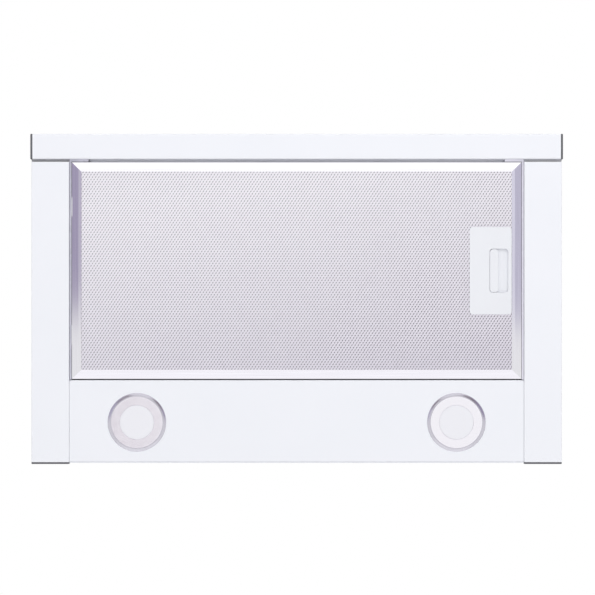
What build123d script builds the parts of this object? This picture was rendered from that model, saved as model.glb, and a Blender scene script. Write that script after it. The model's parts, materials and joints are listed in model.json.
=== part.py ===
from build123d import *
import os
from math import cos, radians, sin

os.makedirs("parts", exist_ok=True)

# Telescopic cabinet hood, in millimetres: X to the right, front towards -Y, underside at Z = 0

# Overall sizes
bar_width = 500.0  # front bar over its end caps
hood_depth = 310.0  # front of the bar to the rear end caps
bar_overhang = 1.0  # bar past the side strips at each end
body_height = 180.0  # underside to the top panel
sheet = 0.8  # painted steel sheet of the casing
bend = 1.6  # outer radius of a fold

# Front bar
bar_depth = 23.9
bar_height = 42.0
bar_lip = 9.0  # upper lip behind the bar
bar_screw_edge = 6.0  # arm screws to the edges of the lips
cap_thickness = 2.0
cap_plug = 8.0
cap_fit = 0.2
front_gap = 2.6  # shadow gap between the bar and the casing
pad_gap = 0.6  # rubber pads of the bar to the side strips
pad_foot = 3.0
pad_height = 5.0

# Side strips and casing
strip_width = 35.5
strip_bend = 1.0  # tighter folds of the strips and the lamp panel
strip_height = 10.0
strip_lip = 5.0
weld_lip = 8.0
rear_cap = 1.8
flange = 12.0  # folded edges that join the sheets
hem_gap = 1.0  # hem of the front sheet to the side sheets
visor_headroom = 3.2  # above the visor, under the front sheet
mount_spacing = 160.0
mount_drop = 30.0  # cabinet screws below the top panel
mount_hole = 2.6
swage_width = 10.0  # pressed grooves that stiffen the casing
swage_depth = 0.6
swage_wall = 0.6
swage_inset = 40.0  # groove to the edges of its sheet
swage_step = 24.0
swage_offset = 105.0  # grooves of the top panel from the middle

# Visor arms and runners
side_gap = 0.35  # arm to side strip
arm_sheet = 1.8
arm_foot = 0.3  # arm above the underside plane
arm_height = 40.0
arm_flange = 16.0
arm_lift = 0.4  # front end of the arm above its foot
arm_notch = 8.0  # arm above the underside, over the lamp panel
arm_corner = 6.0
arm_tail = 54.0  # arm past the front edge of the lamp panel
visor_travel = 160.0
visor_top_depth = 170.0
top_fold_foot = 6.5
top_hem_gap = 0.6  # hem of the top sheet to the filter
top_fold_gap = 0.4  # fold of the top sheet to the arm flanges
cross_rail_foot = 20.0
cross_rail_depth = 14.0
runner_thickness = 12.55
runner_height = 27.0
runner_sheet = 1.2
runner_floor = 9.0
runner_inset = 8.0  # outer rail short of the rear sheet
runner_mouth = 3.0  # outer rail open towards the arm
race_height = 4.4  # between the rails, round the rollers
roller_diameter = 4.0
roller_length = 4.6
roller_count = 2
roller_inset = 12.6  # outer rollers to the ends of the cage
cage_length = 84.0
cage_sheet = 0.9
cage_gap = 0.3  # cage to the outer rail and round its rollers
rail_gap = 1.4  # inner rail to the cage

# Visor grease filter
filter_gap = 2.9  # bar to the filter frame
filter_clearance = 0.3
filter_headroom = 0.6  # filter to the heads of the arm screws
filter_foot = 1.6
filter_thickness = 10.0
frame_face = 8.6
frame_rise = 4.0  # bevel of the visible frame face
frame_knee = 5.8  # steeper outer part of the bevel
knee_rise = 3.1
frame_sheet = 0.8
pack_fit = 0.3  # mesh and wool inside the frame
mesh_seat = 0.2
mesh_sheet = 0.6
mesh_columns = 15
mesh_rows = 7
mesh_margin = 2.0
mesh_open = 0.66  # share of the pitch that each opening takes
tab_length = 18.0
tab_spacing = 120.0
tab_bead = 0.6
tab_play = 0.35
hinge_lift = 0.1  # hinge line above the foot of the frame

# Filter latch
latch_width = 39.5
latch_length = 82.2
latch_sheet = 2.0
latch_corner = 3.0
slot_width = 17.6
slot_length = 41.2
slot_inset = 3.2  # slot to the right edge of the plate
pad_width = 8.0
pad_proud = 1.7  # finger pad into the slot
pad_sheet = 1.6
tray_wall = 1.4
tray_inset = 3.0
latch_fit = 0.2
riser_sheet = 1.2
slider_cover = 2.0  # slider past the edges of the slot
latch_travel = 4.5
slide_fit = 0.3
tongue_width = 13.0
tongue_sheet = 1.8
nose_length = 2.0
nose_drop = 0.8
spring_sheet = 0.4
spring_width = 4.0
spring_gap = 0.1
spring_inset = 1.0

# Lamp panel and lamps
panel_depth = 76.9  # front edge of the panel to the rear sheet
lamp_inset = 63.3  # lamp to the end of the panel
lamp_setback = 37.3  # lamp to the rear sheet
lamp_diameter = 55.0
lens_diameter = 31.8
bezel_rim = 3.7
bezel_drop = 1.0
bezel_step = 0.45
bezel_slope = 0.6
bezel_chamfer = 1.4
bezel_edge = 0.2
sleeve_wall = 1.4
sleeve_height = 9.0
lamp_fit = 0.2
lamp_can_radius = 22.0
lamp_can_height = 26.0
can_wall = 1.4
lens_back = 1.2
lens_recess = 0.6
lens_flange = 2.0
can_web = 6.0
panel_gap = 1.2
panel_recess = 1.0
panel_lip = 0.2
panel_fold = 5.0  # front fold at full width
panel_ledge = 10.0  # carries the rear edge of the inner filter
ledge_clearance = 2.0

# Fan
wheel_radius = 40.0
wheel_length = 96.0
blade_count = 22
blade_depth = 8.0
blade_sheet = 1.2
blade_root = 0.6  # blade into the end rings
blade_sweep = 10  # degrees
ring_width = 3.0
disc_sheet = 2.0
hub_radius = 9.0  # bosses of the wheel and the motor
hub_back = 4.0
hub_length = 14.0
volute_gap = 5.0
volute_step = 5.0
throat = 112.0
fan_width = 116.0
fan_wall = 2.0
inlet_radius = 33.0
motor_radius = 25.0
motor_length = 46.0
shaft_radius = 3.0
shaft_fit = 0.05
shaft_seat = 6.0  # closed end of the motor
shaft_nose = 12.0
motor_boss = 5.0
bracket_sheet = 2.0
bracket_width = 9.0
bracket_reach = 4.0
bracket_hub = 15.0
bracket_arms = 3
fan_lift = 1.5  # fan housing above the inner filter
fan_setback = 8.0

# Duct collar and flaps
collar_radius = 60.0
collar_wall = 2.5
collar_height = 42.0
collar_flange = 12.0
collar_sheet = 2.0
collar_screw_count = 4
flap_lift = 11.0
flap_sheet = 1.2
flap_play = 0.9
flap_seat = 2.6
seat_sheet = 1.5
seat_gap = 0.3
seat_root = 0.2
pin_radius = 1.5
pin_inset = 0.3
knuckle_radius = 2.7
knuckle_length = 26.0
knuckle_gap = 1.0
knuckle_root = 0.4
knuckle_play = 0.8
flap_gap = 3.6

# Inner grease filter
inner_thickness = 8.0
inner_face = 9.0

# Push buttons
button_count = 5
button_width = 12.0
button_height = 8.5
button_pitch = 15.0
button_length = 8.0
button_play = 0.3
button_inset = 0.2
button_travel = 3.0
button_margin = 60.0  # middle of the row to the end of the bar
button_round = 0.8
block_wall = 2.0
block_slack = 1.0

# Electrics and screws
screw_radius = 1.5
screw_head = 3.0
screw_cap = 1.6
screw_hole = 1.7
screw_length = 6.0
gland_bore = 4.0
gland_radius = 8.0
gland_height = 14.0
gland_nut = 5.0
gland_hex = 9.6  # corner radius of its nut
gland_inset = 48.0  # gland to the side sheet
gland_setback = 36.0  # gland to the rear sheet
gland_thread = 5.6
gland_tail = 4.0
gland_fit = 0.1
gland_taper = 6  # degrees
box_width = 72.0
box_depth = 44.0
box_height = 34.0
box_wall = 2.0
box_corner = 3.0
box_shift = 12.0  # middle of the box to the gland
capacitor_width = 42.0
capacitor_depth = 22.0
capacitor_height = 30.0
capacitor_corner = 2.0

# Lines that follow from the sizes
bar_front = -hood_depth / 2
bar_rear = bar_front + bar_depth
body_front = bar_rear + front_gap
body_rear = hood_depth / 2 - rear_cap
body_width = bar_width - 2 * bar_overhang
strip_outer = body_width / 2
strip_inner = strip_outer - strip_width
arm_outer = strip_inner - side_gap
arm_inner = arm_outer - arm_sheet
wall_inner = arm_outer + runner_thickness
wall_outer = wall_inner + sheet
filter_half = arm_inner - filter_clearance
panel_front = body_rear - panel_depth
filter_front = bar_rear + filter_gap
filter_rear = panel_front - panel_gap
filter_depth = filter_rear - filter_front
filter_mid = (filter_front + filter_rear) / 2
filter_top = filter_foot + filter_thickness
mesh_floor = filter_foot + frame_rise + frame_sheet + mesh_seat
hinge_x = arm_inner + arm_sheet / 2
hinge_z = filter_foot + hinge_lift
panel_half = strip_inner - panel_lip
lamp_x = panel_half - lamp_inset
lamp_y = body_rear - lamp_setback
arm_rear = panel_front + arm_tail
arm_screw_x = arm_inner - arm_flange / 2
low_screw_z = filter_top + filter_headroom + screw_head
arm_screw_heights = (low_screw_z, bar_height - bar_screw_edge)
button_offset = bar_width / 2 - button_margin
visor_top = arm_height + sheet
front_foot = visor_top + visor_headroom
inner_floor = front_foot + sheet
inner_top = inner_floor + inner_thickness
ceiling = body_height - sheet
fan_y = fan_setback
volute_radius = wheel_radius + volute_gap
fan_z = inner_top + fan_lift + volute_radius + volute_step
throat_rear = fan_y + volute_radius + 3 * volute_step
throat_front = throat_rear - throat
duct_y = (throat_front + throat_rear) / 2
flap_z = body_height + flap_lift
mount_z = body_height - mount_drop


def save(piece, name):
    piece.part.label = name
    export_step(piece.part, f"parts/{name}.step")


def grooves(plane, places, length, wall, turn=0):
    # Outlines of the pressed grooves on one face of a sheet
    with BuildSketch(plane) as outline:
        with Locations(*places):
            SlotOverall(length + 2 * wall, swage_width + 2 * wall, rotation=turn)
    return outline.sketch


def folded(plane, points, radius, thickness):
    # Cross section of a folded sheet, with its thickness on the left of the path
    with BuildSketch(plane) as section:
        with BuildLine():
            FilletPolyline(*points, radius=radius)
            offset(amount=thickness, side=Side.LEFT)
        make_face()
    return section.sketch


def across(y):
    # Plane square to the depth, seen from the front, at one depth
    return Plane.XZ.offset(-y)


def hex_screw(length):
    # Hexagon head screw along +Z, with the underside of its head at the origin
    with BuildPart() as screw:
        with BuildSketch(Plane.XY):
            RegularPolygon(screw_head, 6)
        extrude(amount=screw_cap)
        with BuildSketch(Plane.XY):
            Circle(screw_radius)
        extrude(amount=-length)
    return screw.part


# Side strips: hollow folded profiles under the cabinet sides
with BuildPart() as side_strip_right:
    strip_path = [
        (strip_inner, strip_lip),
        (strip_inner, 0),
        (strip_outer, 0),
        (strip_outer, strip_height),
        (wall_outer + sheet, strip_height),
        (wall_outer + sheet, strip_height + weld_lip),
    ]
    extrude(folded(across(body_rear), strip_path, strip_bend, sheet), amount=body_rear - body_front)
save(side_strip_right, "side_strip_right")

with BuildPart() as side_strip_left:
    mirror(side_strip_right.part, about=Plane.YZ)
save(side_strip_left, "side_strip_left")

# Rear end caps of the strips
with BuildPart() as strip_cap_right:
    with BuildSketch(across(hood_depth / 2)):
        with Locations(((strip_inner + strip_outer) / 2, strip_height / 2)):
            RectangleRounded(strip_width, strip_height, bend)
    extrude(amount=rear_cap)
    with BuildSketch(across(body_rear)):
        with Locations(((wall_outer + strip_outer) / 2, strip_height / 2)):
            Rectangle(strip_outer - wall_outer - 6 * sheet, strip_height - 2 * sheet - 2 * cap_fit)
    extrude(amount=cap_plug)
save(strip_cap_right, "strip_cap_right")

with BuildPart() as strip_cap_left:
    mirror(strip_cap_right.part, about=Plane.YZ)
save(strip_cap_left, "strip_cap_left")

# Side sheets of the casing, with the cabinet screw holes
joint_heights = [(front_foot + body_height) / 2]
joint_depths = (body_front + sheet + flange / 2, body_rear - flange / 2)
swage_heights = (front_foot + swage_step, front_foot + 2 * swage_step)
swage_depthwise = body_rear - body_front - sheet - 2 * swage_inset
swage_widthwise = 2 * (wall_inner - swage_inset)
side_places = [((body_front + sheet + body_rear) / 2, z) for z in swage_heights]
wide_places = [(0, z) for z in swage_heights]
with BuildPart() as side_sheet_right:
    with BuildSketch(Plane.YZ.offset(wall_inner)):
        with Locations(((body_front + sheet + body_rear) / 2, (sheet + body_height) / 2)):
            Rectangle(body_rear - body_front - sheet, body_height - sheet)
        with Locations((duct_y - mount_spacing / 2, mount_z), (duct_y + mount_spacing / 2, mount_z)):
            Circle(mount_hole, mode=Mode.SUBTRACT)
        with Locations(*[(y, z) for y in joint_depths for z in joint_heights]):
            Circle(screw_hole, mode=Mode.SUBTRACT)
    extrude(amount=sheet)
    side_back = grooves(Plane.YZ.offset(wall_inner), side_places, swage_depthwise, swage_wall)
    extrude(side_back, amount=-swage_depth)
    side_face = grooves(Plane.YZ.offset(wall_outer), side_places, swage_depthwise, 0)
    extrude(side_face, amount=-swage_depth, mode=Mode.SUBTRACT)
save(side_sheet_right, "side_sheet_right")

with BuildPart() as side_sheet_left:
    mirror(side_sheet_right.part, about=Plane.YZ)
save(side_sheet_left, "side_sheet_left")


def joint_flange(side, y_start, y_end):
    # Joining flange of the front or rear sheet, against the inner face of a side sheet
    low = front_foot + flange
    high = body_height - flange - 2 * sheet
    middle = (y_start + y_end) / 2
    with BuildSketch(Plane.YZ.offset(side * (wall_inner - sheet / 2))) as outline:
        with Locations((middle, (low + high) / 2)):
            Rectangle(abs(y_end - y_start), high - low)
        with Locations(*[(middle, z) for z in joint_heights]):
            Circle(screw_hole, mode=Mode.SUBTRACT)
    return outline.sketch


# Front sheet above the visor, with a hem that carries the inner filter
with BuildPart() as front_sheet:
    with BuildSketch(across(body_front + sheet)):
        with Locations((0, (front_foot + body_height) / 2)):
            Rectangle(2 * wall_outer, body_height - front_foot)
    extrude(amount=sheet)
    with BuildSketch(Plane.XY.offset(front_foot)):
        with Locations((0, body_front + sheet + flange / 2)):
            Rectangle(2 * (wall_inner - hem_gap), flange)
    extrude(amount=sheet)
    for side in (1, -1):
        wing = joint_flange(side, body_front + sheet, body_front + sheet + flange)
        extrude(wing, amount=sheet / 2, both=True)
    front_back = grooves(across(body_front + sheet), wide_places, swage_widthwise, swage_wall)
    extrude(front_back, amount=-swage_depth)
    front_face = grooves(across(body_front), wide_places, swage_widthwise, 0)
    extrude(front_face, amount=-swage_depth, mode=Mode.SUBTRACT)
save(front_sheet, "front_sheet")

# Rear sheet
with BuildPart() as rear_sheet:
    with BuildSketch(across(body_rear + sheet)):
        with Locations((0, (panel_recess + body_height) / 2)):
            Rectangle(2 * wall_outer, body_height - panel_recess)
        with Locations((0, panel_recess)):
            for side in (1, -1):
                with Locations((side * (strip_inner + wall_outer) / 2, 0)):
                    corner = wall_outer - strip_inner + 2 * panel_lip
                    Rectangle(corner, 2 * strip_height, mode=Mode.SUBTRACT)
    extrude(amount=sheet)
    for side in (1, -1):
        extrude(joint_flange(side, body_rear, body_rear - flange), amount=sheet / 2, both=True)
    rear_back = grooves(across(body_rear), wide_places, swage_widthwise, swage_wall)
    extrude(rear_back, amount=swage_depth)
    rear_face = grooves(across(body_rear + sheet), wide_places, swage_widthwise, 0)
    extrude(rear_face, amount=swage_depth, mode=Mode.SUBTRACT)
save(rear_sheet, "rear_sheet")

# Top panel: a shallow tray with the duct opening
top_length = body_rear - body_front - sheet
top_mid = (body_front + sheet + body_rear) / 2
collar_holes = collar_radius + collar_flange / 2
gland_x = wall_inner - gland_inset
gland_y = body_rear - gland_setback
with BuildPart() as top_panel:
    with BuildSketch(Plane.XY.offset(ceiling)):
        with Locations((0, top_mid)):
            Rectangle(2 * wall_inner, top_length)
        with Locations((0, duct_y)):
            Circle(collar_radius - collar_wall - flap_seat, mode=Mode.SUBTRACT)
            with PolarLocations(collar_holes, collar_screw_count, start_angle=45):
                Circle(screw_hole, mode=Mode.SUBTRACT)
        with Locations((gland_x, gland_y)):
            Circle(gland_thread, mode=Mode.SUBTRACT)
    extrude(amount=sheet)
    with BuildSketch(Plane.XY.offset(ceiling - flange)):
        with Locations((0, top_mid)):
            Rectangle(2 * wall_inner, top_length)
            Rectangle(2 * (wall_inner - sheet), top_length - 2 * sheet, mode=Mode.SUBTRACT)
            with GridLocations(2 * wall_inner, top_length, 2, 2):
                Rectangle(flange, flange, mode=Mode.SUBTRACT)
    extrude(amount=flange)
    top_places = [(swage_offset, top_mid), (-swage_offset, top_mid)]
    top_back = grooves(Plane.XY.offset(ceiling), top_places, swage_depthwise, swage_wall, 90)
    extrude(top_back, amount=-swage_depth)
    top_face = grooves(Plane.XY.offset(body_height), top_places, swage_depthwise, 0, 90)
    extrude(top_face, amount=-swage_depth, mode=Mode.SUBTRACT)
save(top_panel, "top_panel")

# Lamp panel, folded up at its front edge to carry the inner filter
ledge_half = arm_inner - ledge_clearance
with BuildPart() as lamp_panel:
    panel_path = [
        (panel_front, panel_fold),
        (panel_front, panel_recess),
        (body_rear, panel_recess),
        (body_rear, flange),
    ]
    extrude(folded(Plane.YZ.offset(-panel_half), panel_path, strip_bend, sheet), amount=2 * panel_half)
    with BuildSketch(Plane.YZ.offset(-ledge_half)):
        with Locations((panel_front + sheet / 2, (panel_fold + inner_floor) / 2)):
            Rectangle(sheet, inner_floor - panel_fold)
        with Locations((panel_front + panel_ledge / 2, inner_floor - sheet / 2)):
            Rectangle(panel_ledge, sheet)
    extrude(amount=2 * ledge_half)
    with BuildSketch(Plane.XY):
        with Locations((-lamp_x, lamp_y), (lamp_x, lamp_y)):
            Circle(lamp_can_radius + sleeve_wall + 2 * lamp_fit)
    extrude(amount=panel_recess + 2 * sheet, mode=Mode.SUBTRACT)
save(lamp_panel, "lamp_panel")

# Lamps: bezel, frosted lens and can, once for each side
lens_radius = lens_diameter / 2
bezel_radius = lamp_diameter / 2
for side, word in ((-1, "left"), (1, "right")):
    spot = Plane((side * lamp_x, lamp_y, 0))
    lamp_axis = Axis((side * lamp_x, lamp_y, 0), (0, 0, 1))
    lamp_section = Plane((side * lamp_x, lamp_y, 0), x_dir=(1, 0, 0), z_dir=(0, -1, 0))
    foot = panel_recess - bezel_drop
    sleeve_top = panel_recess + sheet + sleeve_height
    sleeve_inner = lamp_can_radius + lamp_fit
    sleeve_outer = sleeve_inner + sleeve_wall
    with BuildPart() as bezel:
        with BuildSketch(lamp_section):
            with BuildLine():
                inner = lens_radius + cap_fit
                rim = bezel_radius - bezel_rim
                Polyline(
                    (inner, panel_recess),
                    (inner, foot + bezel_step),
                    (rim, foot + bezel_step),
                    (rim + bezel_slope, foot),
                    (bezel_radius - bezel_chamfer, foot),
                    (bezel_radius, panel_recess - bezel_edge),
                    (bezel_radius, panel_recess),
                    (sleeve_outer, panel_recess),
                    (sleeve_outer, sleeve_top),
                    (sleeve_inner, sleeve_top),
                    (sleeve_inner, panel_recess),
                    (inner, panel_recess),
                )
            make_face()
        revolve(axis=lamp_axis)
    save(bezel, f"lamp_bezel_{word}")
    with BuildPart() as lens:
        with BuildSketch(spot.offset(foot + lens_recess)):
            Circle(lens_radius)
        extrude(amount=panel_recess - foot - lens_recess)
        with BuildSketch(spot.offset(panel_recess)):
            Circle(lens_radius + lens_flange)
        extrude(amount=lens_back)
    save(lens, f"lamp_lens_{word}")
    with BuildPart() as can:
        with BuildSketch(spot.offset(panel_recess + lens_back)):
            Circle(lamp_can_radius)
            Circle(lamp_can_radius - can_wall, mode=Mode.SUBTRACT)
        extrude(amount=lamp_can_height)
        with BuildSketch(spot.offset(panel_recess + lens_back + lamp_can_height)):
            Circle(lamp_can_radius)
        extrude(amount=can_wall)
        with BuildSketch(spot.offset(panel_recess + lens_back)):
            Circle(lens_radius + lens_flange)
        extrude(amount=can_wall)
        with BuildSketch(spot.offset(panel_recess + lens_back)):
            Rectangle(2 * lamp_can_radius - can_wall, can_web)
        extrude(amount=can_wall)
    save(can, f"lamp_can_{word}")


def mitred_frame(half, depths, heights, bevel):
    # Channel profile swept round a rectangle and mitred; bevel lists inset and rise on its lower face
    y_low, y_high = depths
    z_low, z_high = heights
    middle = (y_low + y_high) / 2
    with BuildPart() as frame:
        with BuildLine() as path:
            Polyline(
                (half, middle, 0),
                (half, y_high, 0),
                (-half, y_high, 0),
                (-half, y_low, 0),
                (half, y_low, 0),
                (half, middle, 0),
            )
        points = [(half - inset, z_low + rise) for inset, rise in bevel]
        points += [(half, z_low), (half, z_high), (half - bevel[0][0], z_high)]
        with BuildSketch(across(middle)):
            with BuildLine():
                Polyline(*points)
                offset(amount=frame_sheet, side=Side.LEFT, kind=Kind.INTERSECTION)
            make_face()
        sweep(path=path.wires()[0], transition=Transition.RIGHT)
    return frame.part


# Visor grease filter: mitred frame with two beaded hinge tabs
slot_right = filter_half - frame_face - latch_fit - slot_inset
latch_right = slot_right + slot_inset
latch_left = latch_right - latch_width
tray_left = latch_left + tray_inset
tray_right = latch_right + latch_fit / 2
tray_half = slot_length / 2 + slider_cover + slide_fit + tray_wall
tongue_low = filter_top + slide_fit
tongue_top = tongue_low + tongue_sheet
tray_height = tongue_top + slide_fit + tray_wall - mesh_floor
tab_depths = (filter_mid - tab_spacing / 2, filter_mid + tab_spacing / 2)
with BuildPart() as filter_frame:
    filter_depths = (filter_front, filter_rear)
    filter_heights = (filter_foot, filter_top)
    filter_bevel = [(frame_face, frame_rise), (frame_knee, knee_rise)]
    add(mitred_frame(filter_half, filter_depths, filter_heights, filter_bevel))
    tab_root = -filter_half + frame_sheet / 2
    for tab_y in tab_depths:
        with BuildSketch(across(tab_y + tab_length / 2)):
            with Locations((-hinge_x, hinge_z)):
                Circle(tab_bead)
            with Locations(((tab_root - hinge_x) / 2, hinge_z)):
                Rectangle(tab_root + hinge_x, tab_bead)
        extrude(amount=tab_length)
save(filter_frame, "filter_frame")

# Filter face: expanded metal drawn with fewer, larger diamonds
sheet_half = filter_half - frame_sheet - pack_fit
sheet_depth = filter_depth - 2 * (frame_sheet + pack_fit)
open_half = filter_half - frame_face - mesh_margin
open_depth = filter_depth - 2 * (frame_face + mesh_margin)
pitch_x = 2 * open_half / mesh_columns
pitch_y = open_depth / mesh_rows
half_x = pitch_x * mesh_open / 2
half_y = pitch_y * mesh_open / 2
diamond = [(-half_x, 0), (0, -half_y), (half_x, 0), (0, half_y)]
notch_width = filter_half - tray_left + 2 * slide_fit
notch_length = 2 * (tray_half + slide_fit)
with BuildPart() as filter_mesh:
    with BuildSketch(Plane.XY.offset(mesh_floor)):
        with Locations((0, filter_mid)):
            Rectangle(2 * sheet_half, sheet_depth)
            with GridLocations(pitch_x, pitch_y, mesh_columns, mesh_rows):
                Polygon(*diamond, align=None, mode=Mode.SUBTRACT)
        with Locations(((tray_left + filter_half) / 2, filter_mid)):
            Rectangle(notch_width, notch_length, mode=Mode.SUBTRACT)
    extrude(amount=mesh_sheet)
save(filter_mesh, "filter_mesh")

# Layers of filter wool behind the face
with BuildPart() as filter_pack:
    with BuildSketch(Plane.XY.offset(mesh_floor + mesh_sheet)):
        with Locations((0, filter_mid)):
            Rectangle(2 * sheet_half, sheet_depth)
        with Locations(((tray_left + filter_half) / 2, filter_mid)):
            Rectangle(notch_width, notch_length, mode=Mode.SUBTRACT)
    extrude(amount=filter_top - frame_sheet - mesh_floor - mesh_sheet)
save(filter_pack, "filter_pack")

# Latch plate with the tray that guides the slider
with BuildPart() as latch_plate:
    plate_floor = mesh_floor - latch_sheet
    with BuildSketch(Plane.XY.offset(plate_floor)):
        with Locations(((latch_left + latch_right) / 2, filter_mid)):
            RectangleRounded(latch_width, latch_length, latch_corner)
        with Locations((slot_right - slot_width / 2, filter_mid)):
            RectangleRounded(slot_width, slot_length, latch_corner, mode=Mode.SUBTRACT)
    extrude(amount=latch_sheet)
    with BuildSketch(Plane.XY.offset(mesh_floor)):
        with Locations(((tray_left + tray_right) / 2, filter_mid)):
            Rectangle(tray_right - tray_left, 2 * tray_half)
        with Locations(((tray_left + tray_wall + tray_right) / 2, filter_mid)):
            tray_room = (tray_right - tray_left - tray_wall, 2 * (tray_half - tray_wall))
            Rectangle(*tray_room, mode=Mode.SUBTRACT)
    extrude(amount=tray_height)
    with BuildSketch(Plane.XY.offset(mesh_floor + tray_height - tray_wall)):
        with Locations(((tray_left + tray_right) / 2, filter_mid)):
            Rectangle(tray_right - tray_left, 2 * tray_half)
    extrude(amount=tray_wall)
save(latch_plate, "latch_plate")

# Latch slider, drawn back: base plate, finger pad in the slot, riser and tongue over the frame
slot_left = slot_right - slot_width
slide_floor = mesh_floor + slide_fit
slide_half = tray_half - tray_wall - slide_fit
slide_end = filter_half - frame_face - slide_fit - latch_travel
pad_left = slot_left - latch_travel - slider_cover
with BuildPart() as latch_slider:
    with BuildSketch(Plane.XY.offset(slide_floor)):
        with Locations(((pad_left + slot_right + slider_cover) / 2, filter_mid)):
            Rectangle(slot_right + slider_cover - pad_left, 2 * slide_half)
    extrude(amount=pad_sheet)
    with BuildSketch(Plane.XY.offset(slide_floor - pad_proud)):
        with Locations((slot_left + slide_fit + pad_width / 2, filter_mid)):
            RectangleRounded(pad_width, slot_length - 2 * slide_fit, latch_corner)
    extrude(amount=pad_proud)
    with BuildSketch(across(filter_mid)):
        with BuildLine():
            tongue_end = filter_half - frame_sheet / 2
            Polyline(
                (slide_end - riser_sheet, slide_floor),
                (slide_end, slide_floor),
                (slide_end, tongue_low),
                (tongue_end, tongue_low),
                (tongue_end, tongue_top - nose_drop),
                (tongue_end - nose_length, tongue_top),
                (slide_end - riser_sheet, tongue_top),
                close=True,
            )
        make_face()
    extrude(amount=tongue_width / 2, both=True)
save(latch_slider, "latch_slider")

# Bowed leaf spring between the tray and the slider
spring_foot = tray_left + tray_wall
with BuildPart() as latch_spring:
    with BuildSketch(Plane.XY.offset(slide_floor)):
        with BuildLine():
            ThreePointArc(
                (spring_foot + spring_gap, filter_mid - slide_half + spring_inset),
                (pad_left - spring_gap - spring_sheet, filter_mid),
                (spring_foot + spring_gap, filter_mid + slide_half - spring_inset),
            )
            offset(amount=spring_sheet, side=Side.RIGHT)
        make_face()
    extrude(amount=spring_width)
save(latch_spring, "latch_spring")

# Front bar: folded channel with openings for the buttons
button_z = bar_height / 2
first_button = button_offset - (button_count - 1) * button_pitch / 2
with BuildPart() as front_bar:
    bar_half = bar_width / 2 - cap_thickness
    bar_path = [
        (bar_rear, bar_height - bar_lip),
        (bar_rear, bar_height),
        (bar_front, bar_height),
        (bar_front, 0),
        (bar_rear, 0),
        (bar_rear, low_screw_z + bar_screw_edge),
    ]
    extrude(folded(Plane.YZ.offset(-bar_half), bar_path, bend, sheet), amount=2 * bar_half)
    with BuildSketch(across(bar_front + 2 * sheet)):
        with Locations((button_offset, button_z)):
            with GridLocations(button_pitch, 0, button_count, 1):
                Rectangle(button_width + 2 * button_play, button_height + 2 * button_play)
    extrude(amount=3 * sheet, mode=Mode.SUBTRACT)
    for side in (1, -1):
        with BuildSketch(across(bar_rear + sheet)):
            with Locations(*[(side * arm_screw_x, z) for z in arm_screw_heights]):
                Circle(screw_hole)
        extrude(amount=3 * sheet, mode=Mode.SUBTRACT)
save(front_bar, "front_bar")

# End caps of the bar
with BuildPart() as bar_cap_right:
    with BuildSketch(Plane.YZ.offset(bar_width / 2 - cap_thickness)):
        with Locations(((bar_front + bar_rear) / 2, bar_height / 2)):
            RectangleRounded(bar_depth, bar_height, bend)
    extrude(amount=cap_thickness)
    with BuildSketch(Plane.YZ.offset(bar_width / 2 - cap_thickness - cap_plug)):
        with Locations(((bar_front + bar_rear) / 2, bar_height / 2)):
            plug_gap = 2 * (sheet + cap_fit)
            plug_room = plug_gap + 2 * cap_thickness
            RectangleRounded(bar_depth - plug_gap, bar_height - plug_gap, bend)
            Rectangle(bar_depth - plug_room, bar_height - plug_room, mode=Mode.SUBTRACT)
    extrude(amount=cap_plug)
save(bar_cap_right, "bar_cap_right")

with BuildPart() as bar_cap_left:
    mirror(bar_cap_right.part, about=Plane.YZ)
save(bar_cap_left, "bar_cap_left")

# Rubber pads behind the bar, where it closes against the side strips
with BuildPart() as bar_pads:
    with BuildSketch(Plane.XY.offset(pad_foot)):
        pad_mid = (strip_inner + strip_outer) / 2
        with Locations(*[(x, bar_rear + (front_gap - pad_gap) / 2) for x in (pad_mid, -pad_mid)]):
            Rectangle(strip_width, front_gap - pad_gap)
    extrude(amount=pad_height)
save(bar_pads, "bar_pads")

# Visor arms: flanged to the bar, slotted for the filter tabs and the latch tongue
keeper_half = tongue_width / 2 + 2 * slide_fit
for side, word in ((-1, "left"), (1, "right")):
    with BuildPart() as arm:
        arm_base = arm_inner if side > 0 else -arm_outer
        with BuildSketch(Plane.YZ.offset(arm_base)):
            with BuildLine():
                Polyline(
                    (bar_rear, arm_foot + arm_lift),
                    (filter_front, arm_foot),
                    (panel_front - panel_gap / 2, arm_foot),
                    (panel_front - panel_gap / 2, arm_notch),
                    (arm_rear, arm_notch),
                    (arm_rear, arm_height - arm_corner),
                    (arm_rear - arm_corner, arm_height),
                    (bar_rear, arm_height),
                    close=True,
                )
            make_face()
            if side < 0:
                slot_size = (tab_length + 2 * tab_play, 2 * (tab_bead + tab_play))
                with Locations(*[(y, hinge_z) for y in tab_depths]):
                    Rectangle(*slot_size, mode=Mode.SUBTRACT)
            else:
                with Locations((filter_mid, (tongue_low + tongue_top) / 2)):
                    Rectangle(2 * keeper_half, tongue_sheet + 3 * slide_fit, mode=Mode.SUBTRACT)
        extrude(amount=arm_sheet)
        with BuildSketch(across(bar_rear + arm_sheet)):
            wing_foot = arm_foot + arm_lift
            wing_width = arm_flange + arm_sheet
            with Locations((side * (arm_outer - wing_width / 2), (wing_foot + arm_height) / 2)):
                Rectangle(wing_width, arm_height - wing_foot)
            with Locations(*[(side * arm_screw_x, z) for z in arm_screw_heights]):
                Circle(screw_hole, mode=Mode.SUBTRACT)
        extrude(amount=arm_sheet)
        with BuildSketch(Plane.XY.offset(wing_foot)):
            foot_mid = (bar_rear + filter_front - top_hem_gap) / 2
            with Locations((side * (arm_outer - wing_width / 2), foot_mid)):
                Rectangle(wing_width, filter_gap - top_hem_gap)
        extrude(amount=arm_sheet)
    save(arm, f"visor_arm_{word}")

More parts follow.
